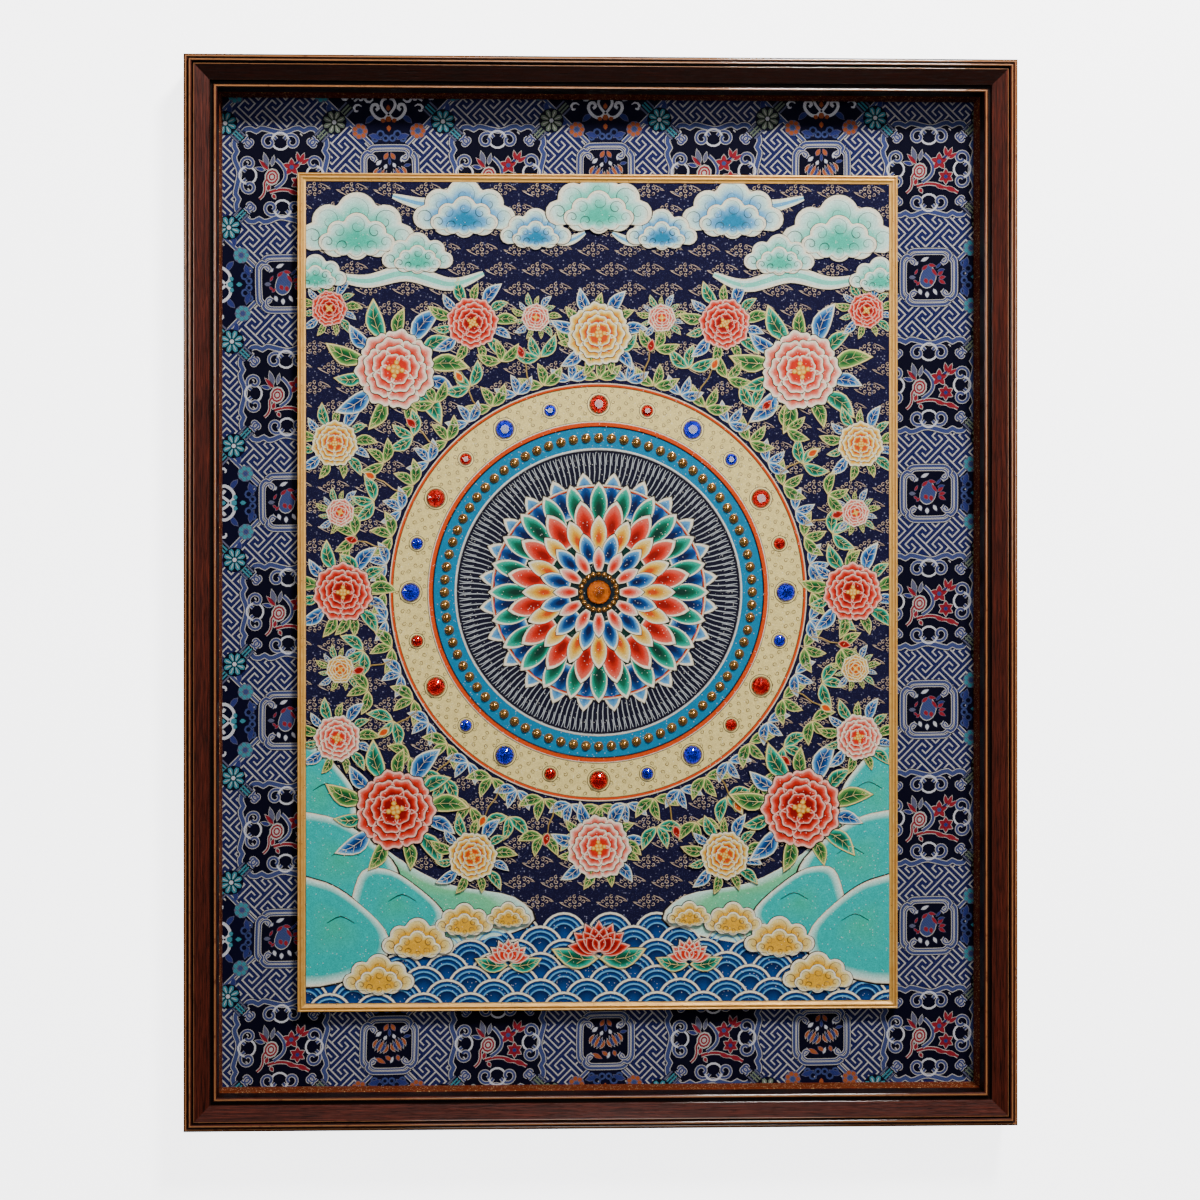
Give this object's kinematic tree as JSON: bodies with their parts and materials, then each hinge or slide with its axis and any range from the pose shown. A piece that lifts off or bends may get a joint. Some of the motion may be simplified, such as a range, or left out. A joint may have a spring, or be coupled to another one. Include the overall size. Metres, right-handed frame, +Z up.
{
  "type": "framed thangka painting in a deep wooden frame with a brocade mount",
  "caption": "Painted cloth with raised outlines and round stones in a thin gilt slip, on a flat silk-brocade mount inside a deep mitred wooden box frame.",
  "frame": {"origin": "on the wall plane, in the middle of the back of the top rail", "axes": "+X to the viewer's right, +Y into the wall, +Z up; the picture faces -Y"},
  "size_m": [0.6, 0.042, 0.77],
  "materials": {
    "frame_wood": "dark red-brown stained and lacquered, satin",
    "liner_cloth": "rust silk brocade with gold threads",
    "board": "plain brown board",
    "brocade": "navy silk brocade with silver-grey figures",
    "painted_cloth": "painted cloth with fine sand fills and raised wire outlines",
    "gilt": "old gold, satin",
    "red_stone": "faceted and foil-backed, red",
    "blue_stone": "faceted and foil-backed, blue",
    "amber_stone": "faceted and foil-backed, amber"
  },
  "bodies": {
    "root": {"moulding_top": "frame_wood", "moulding_right": "frame_wood", "moulding_bottom": "frame_wood", "moulding_left": "frame_wood", "liner_top": "liner_cloth", "liner_right": "liner_cloth", "liner_bottom": "liner_cloth", "liner_left": "liner_cloth", "backing_board": "board", "brocade_mount": "brocade", "picture_board": "board", "painted_cloth": "painted_cloth", "slip_top": "gilt", "slip_right": "gilt", "slip_bottom": "gilt", "slip_left": "gilt", "stone_large_01": "red_stone", "stone_large_02": "blue_stone", "stone_large_03": "red_stone", "stone_large_04": "blue_stone", "stone_large_05": "red_stone", "stone_large_06": "blue_stone", "stone_large_07": "red_stone", "stone_large_08": "blue_stone", "stone_large_09": "red_stone", "stone_large_10": "blue_stone", "stone_large_11": "red_stone", "stone_large_12": "blue_stone", "stone_small_01": "blue_stone", "stone_small_02": "red_stone", "stone_small_03": "blue_stone", "stone_small_04": "red_stone", "stone_small_05": "blue_stone", "stone_small_06": "red_stone", "stone_small_07": "blue_stone", "stone_small_08": "red_stone", "stone_small_09": "blue_stone", "stone_small_10": "red_stone", "stone_small_11": "blue_stone", "stone_small_12": "red_stone", "stone_centre": "amber_stone"}
  },
  "joints": []
}
